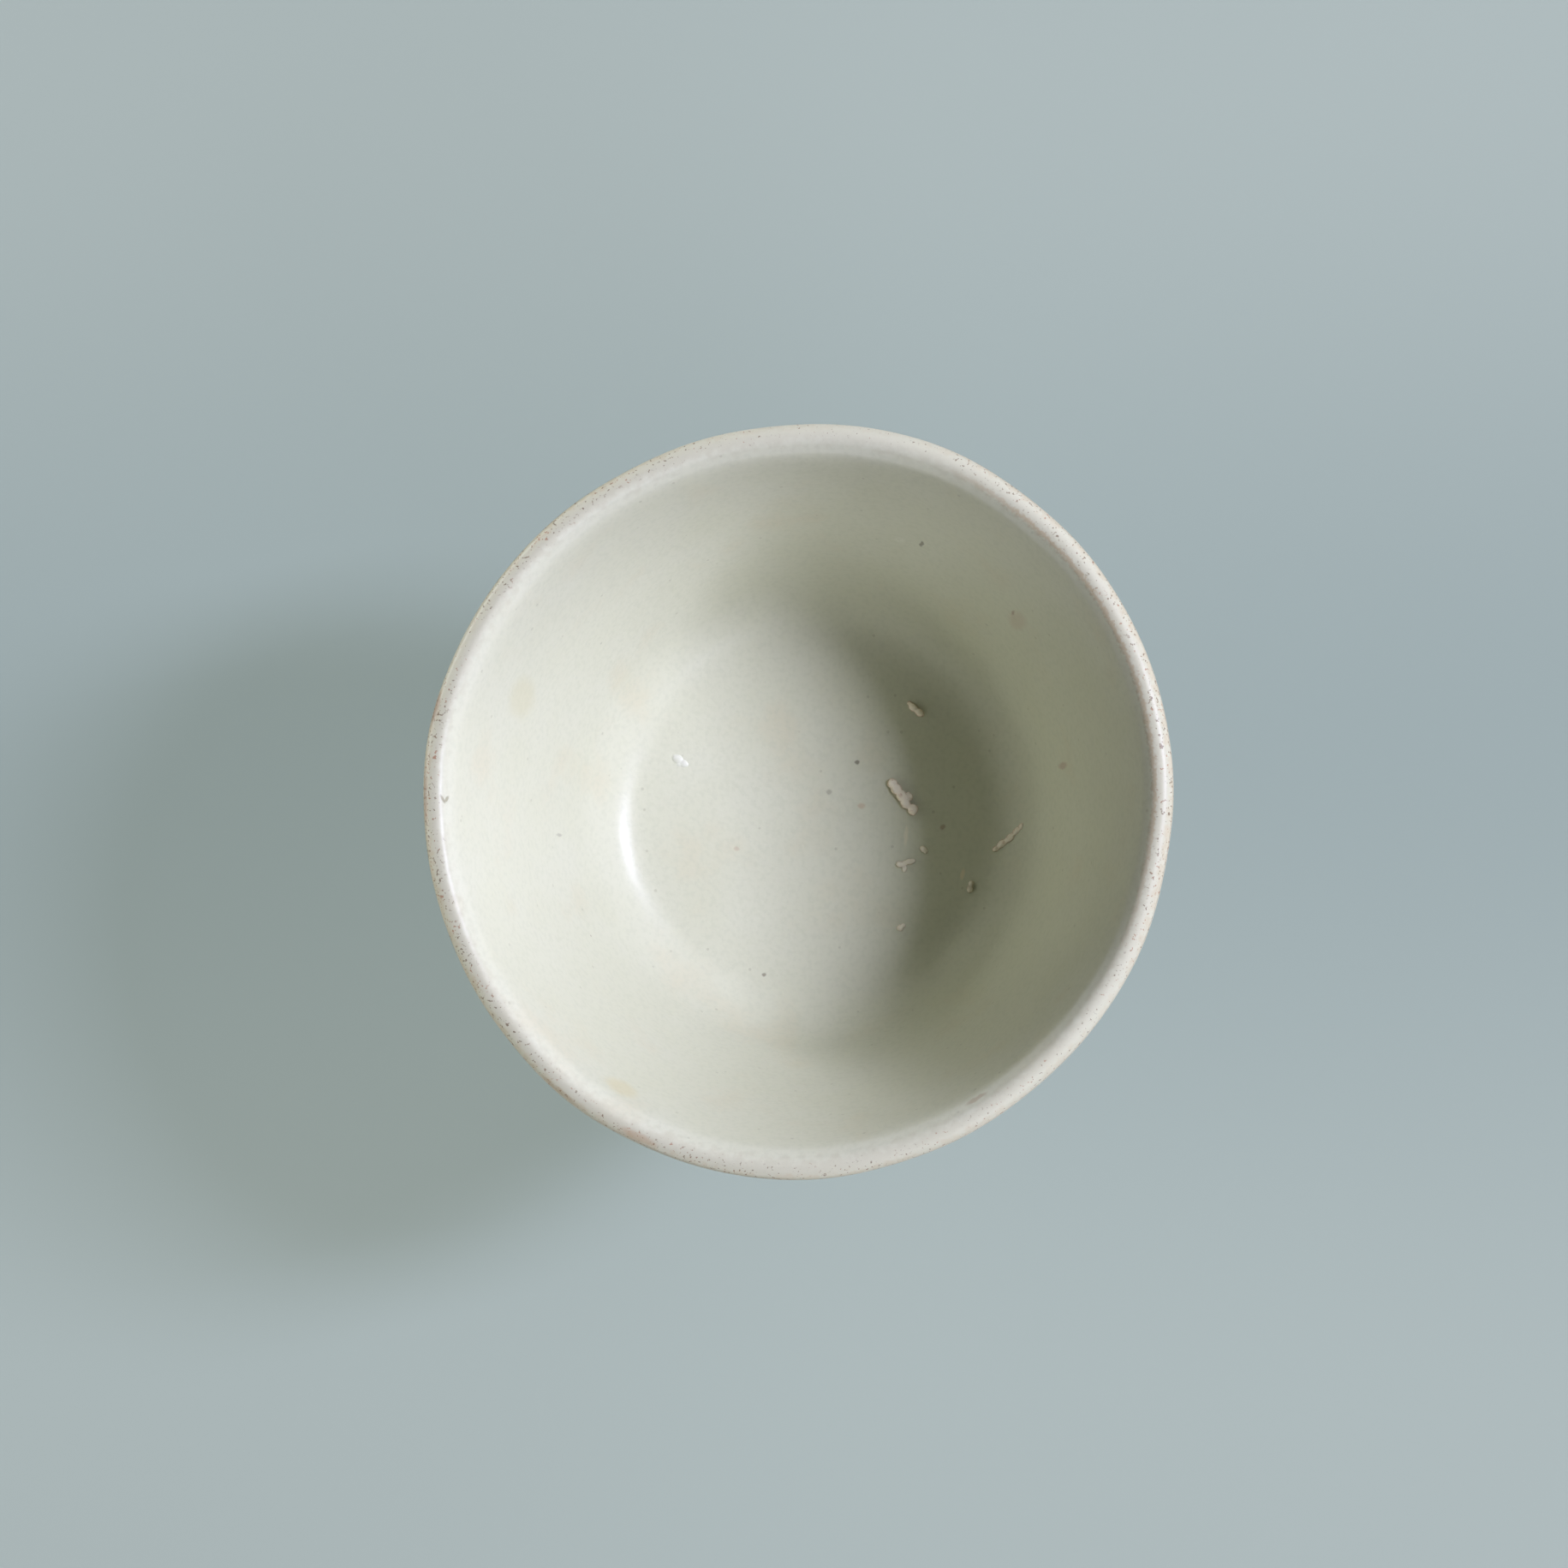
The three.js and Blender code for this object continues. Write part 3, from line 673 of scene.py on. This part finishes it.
def outside_coat():
    """The same glaze outside: greener where it pooled at the neck and the foot, with faint turning lines."""
    material, tree, shader, place = new_material("porcelain_glaze_outside", GLAZE_ROUGHNESS)
    shader.inputs["Specular IOR Level"].default_value = GLAZE_GLOSS
    colour = glaze_body(tree, place)
    height = add(tree, "ShaderNodeSeparateXYZ", {"Vector": wander(tree, place, 6, 1.5)}).outputs["Z"]
    below = grade(tree, height, *metres((STEM_HEIGHT - POOL_BELOW, STEM_HEIGHT)))
    above = grade(tree, height, *metres((STEM_HEIGHT + POOL_ABOVE, STEM_HEIGHT + POOL_FULL)))
    colour = mixed(tree, times(tree, times(tree, below, above), 0.7), colour, linear(GLAZE_POOL))
    lower_edge = FOOT_EDGE_HEIGHT + BARE_BAND
    roll = grade(tree, height, *metres((lower_edge + ROLL_WIDTH, lower_edge)))
    colour = mixed(tree, times(tree, roll, 0.6), colour, linear(GLAZE_POOL))
    tree.links.new(lip_wear(tree, shader, place, colour), shader.inputs["Base Color"])
    rings = turning_lines(tree, place, 2.2)
    bumped(tree, shader, plus(tree, times(tree, rings, 2.0), noise(tree, place, 1.2, 2)), GLAZE_RELIEF)
    return material


def bare_clay():
    """Fired porcelain without glaze: matt, creamy white, flashed orange in the kiln, with turning lines."""
    material, tree, shader, place = new_material("bare_porcelain_clay", 0.85)
    colour = mixed(tree, noise(tree, place, 2.5, 3), linear(CLAY_CREAM), linear(CLAY_BUFF))
    flashed = grade(tree, noise(tree, place, 9, 2), 0.45, 0.75, 0, 0.4)
    colour = mixed(tree, flashed, colour, linear(CLAY_FLASHED))
    colour = mixed(tree, times(tree, pits(tree, place, 1.4, 0.4, 0.3), 0.6), colour, linear(CLAY_SPECK))
    tree.links.new(colour, shader.inputs["Base Color"])
    rings = turning_lines(tree, place, 0.6)
    bumped(tree, shader, plus(tree, rings, times(tree, noise(tree, place, 0.35, 2), 0.5)), 0.06)
    return material


def dried_slip():
    """Slip of the same clay, smeared wet: matt and a little greyer, with drag marks."""
    material, tree, shader, place = new_material("luting_slip", 0.9)
    smears = noise(tree, vector(tree, "MULTIPLY", {0: place, 1: (0.3, 0.3, 1.5)}), 0.8, 3)
    tree.links.new(mixed(tree, smears, linear(SLIP_PALE), linear(SLIP_GREY)), shader.inputs["Base Color"])
    bumped(tree, shader, smears, 0.1)
    return material


def kiln_sand(name, glazed):
    """Crumbs of kiln sand in glaze: cream on top, rusty and in painted shade on the flanks, greyer by the
    share that it covers.
    """
    material, tree, shader, place = new_material(name, 0.5)
    colour = mixed(tree, noise(tree, place, 0.7, 2), linear(SAND_PALE), linear(SAND_CREAM))
    # Painted shade with real rust: the steeper a flank faces, the more of the darker rusty colour it gets
    facing = add(tree, "ShaderNodeTexCoord").outputs["Normal"]
    upright = add(tree, "ShaderNodeSeparateXYZ", {"Vector": facing}).outputs["Z"]
    colour = mixed(tree, grade(tree, upright, 0.75, 0.3, 0, 0.6), colour, linear(SAND_FLANK_RUST_AND_SHADE))
    rusty = grade(tree, noise(tree, place, 0.9, 3), 0.6, 0.75, 0, 0.6)
    colour = mixed(tree, rusty, colour, linear(SAND_RUST))
    tree.links.new(mixed(tree, glazed, colour, linear(GLAZE_MOTTLE)), shader.inputs["Base Color"])
    bumped(tree, shader, noise(tree, place, 0.2, 2), 0.05)
    return material


def glaze_drop():
    """A drop of glaze that ran and set: milky, smooth, with a cloud of bubbles."""
    material, tree, shader, place = new_material("glaze_drop_milky", 0.45)
    colour = mixed(tree, noise(tree, place, 0.6, 2), linear(DROP_MILKY), linear(DROP_CLOUDY))
    bubbles = times(tree, pits(tree, place, 0.35, 0.12, 0.4), 0.3)
    tree.links.new(mixed(tree, bubbles, colour, linear(DROP_BUBBLE)), shader.inputs["Base Color"])
    return material


# Pieces

clay, inside_glaze, outside_glaze = bare_clay(), inside_coat(), outside_coat()
FINISH = {
    "bowl": (clay, "porcelain"),
    "stem": (clay, "porcelain"),
    "slip_joint": (dried_slip(), "slip"),
    "inside_glaze": (inside_glaze, "glaze"),
    "outside_glaze": (outside_glaze, "glaze"),
}


def finish(piece, node, material):
    """Gives a piece its material, and hands it to the frame in place of a node."""
    piece.data.materials.clear()
    piece.data.materials.append(material)
    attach(piece, "root")
    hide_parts(node)


for node, (material, slot) in FINISH.items():
    made = turn(node + "_turned", PROFILES[node])
    if node == "outside_glaze":
        waver_edge(made)
    warp_in_kiln(made)
    finish(made, node, material)

proud_sand = kiln_sand("kiln_sand_fused_in_glaze", 0.0)
sunk_sand = kiln_sand("kiln_sand_under_glaze", SUNK_SHARE)
drop = glaze_drop()
for node, (x, y, turned, balls) in CRUMBS.items():
    is_grit = node.startswith("kiln_grit")
    made = lump(node + "_lump", balls, GRIT_ROUGHNESS if is_grit else DROP_ROUGHNESS)
    lay_on_glaze(made, x, y, turned)
    sand = sunk_sand if node in SUNK_GRIT else proud_sand
    finish(made, node, sand if is_grit else drop)


# Floor

def painted_board():
    """Matt pale blue-grey paint with a band of painted shade across it. Far away the camera sees it even."""
    material, tree, shader, place = new_material("blue_grey_board_with_painted_shade", 0.8)
    # Painted shade: the paint darkens towards a line across the floor and lightens in front and behind
    depth = add(tree, "ShaderNodeSeparateXYZ", {"Vector": place}).outputs["Y"]
    aside = plus(tree, depth, -FLOOR_SHADE_LINE * MM)
    aside = add(tree, "ShaderNodeMath", {0: aside}, operation="ABSOLUTE").outputs["Value"]
    colour = mixed(tree, grade(tree, aside, 0, FLOOR_SHADE_FADE * MM), linear(FLOOR_PAINTED_SHADE), linear(FLOOR_LIGHT))
    away = add(tree, "ShaderNodeVectorMath", {0: place}, operation="LENGTH").outputs["Value"]
    colour = mixed(tree, grade(tree, away, *metres(FLOOR_EVENS_OUT)), colour, linear(FLOOR_FAR))
    tree.links.new(colour, shader.inputs["Base Color"])
    seen = add(tree, "ShaderNodeLightPath").outputs["Is Camera Ray"]
    share = times(tree, grade(tree, away, *metres(FLOOR_EVENS_OUT), FLOOR_EVEN, 1.0), seen)
    even = add(tree, "ShaderNodeEmission", {"Color": colour}).outputs["Emission"]
    both = add(tree, "ShaderNodeMixShader", {0: share, 1: shader.outputs["BSDF"], 2: even})
    tree.links.new(both.outputs["Shader"], tree.nodes["Material Output"].inputs["Surface"])
    return material


deselect()
bpy.ops.mesh.primitive_plane_add(size=FLOOR_SIZE * MM)
floor = bpy.context.object
floor.name = "floor"
floor.data.materials.append(painted_board())


# Light

RIM_MIDDLE = Vector((0, 0, CUP_HEIGHT * MM))
AMBIENT = 0.02


def lamp(name, azimuth, off_axis, distance, width, height, level, colour):
    """Softbox that faces the mouth. Level 1 lights a facing surface so that its colour renders as written.

    The azimuth turns from +X to +Y, off_axis is the angle from straight above, and height is along it.
    """
    data = bpy.data.lights.new(name, "AREA")
    data.shape = "RECTANGLE"
    data.size = width * MM
    data.size_y = height * MM
    data.color = colour
    data.energy = level * (math.pi * distance * MM) ** 2
    made = bpy.data.objects.new(name, data)
    bpy.context.scene.collection.objects.link(made)
    made.visible_camera = False
    turned, leaned = math.radians(azimuth), math.radians(off_axis)
    out = math.sin(leaned)
    way = Vector((out * math.cos(turned), out * math.sin(turned), math.cos(leaned)))
    made.location = RIM_MIDDLE + way * distance * MM
    made.rotation_euler = way.to_track_quat("Z", "Y").to_euler()


lamp("key_lamp", 13, 42, 1600, 200, 520, 1.1, (1.0, 1.0, 1.29))
lamp("right_panel", 52, 73, 1200, 420, 560, 0.28, (1.0, 1.0, 1.08))
lamp("front_panel", 302, 58, 1200, 520, 640, 0.29, (1.0, 1.0, 1.2))
lamp("left_strip", 187, 60, 1200, 1300, 90, 0.12, (1.0, 1.0, 0.95))
lamp("low_left", 160, 93, 700, 700, 66, 0.85, (1.0, 1.0, 1.05))
lamp("low_front", 262, 93, 700, 500, 66, 0.2, (1.0, 1.0, 1.05))

world = bpy.data.worlds.new("studio")
bpy.context.scene.world = world
world.use_nodes = True
tree = world.node_tree
seen = add(tree, "ShaderNodeLightPath").outputs["Is Camera Ray"]
ambient = tree.nodes["Background"]
ambient.inputs["Color"].default_value = (1.0, 1.0, 1.0, 1.0)
ambient.inputs["Strength"].default_value = AMBIENT
even = add(tree, "ShaderNodeBackground", {"Color": linear(FLOOR_FAR)}).outputs["Background"]
both = add(tree, "ShaderNodeMixShader", {0: seen, 1: ambient.outputs["Background"], 2: even})
tree.links.new(both.outputs["Shader"], tree.nodes["World Output"].inputs["Surface"])


# Camera

VIEW_DISTANCE = 450.0
VIEW_TURN = Euler((math.radians(3.2), math.radians(2.6), 0))
LENS, SENSOR = 100.0, 36.0
PICTURE_SIZE = 1831
MOUTH_PIXEL = (931, 932)

camera_data = bpy.data.cameras.new("camera")
camera_data.lens = LENS
camera_data.sensor_width = SENSOR
camera = bpy.data.objects.new("camera", camera_data)
bpy.context.scene.collection.objects.link(camera)
pixel = VIEW_DISTANCE * SENSOR / LENS / PICTURE_SIZE
aside = (PICTURE_SIZE / 2 - MOUTH_PIXEL[0]) * pixel
above = (MOUTH_PIXEL[1] - PICTURE_SIZE / 2) * pixel
camera.rotation_euler = VIEW_TURN
camera.location = RIM_MIDDLE + VIEW_TURN.to_matrix() @ Vector((aside, above, VIEW_DISTANCE)) * MM
bpy.context.scene.camera = camera

bpy.context.scene.view_settings.view_transform = "Standard"
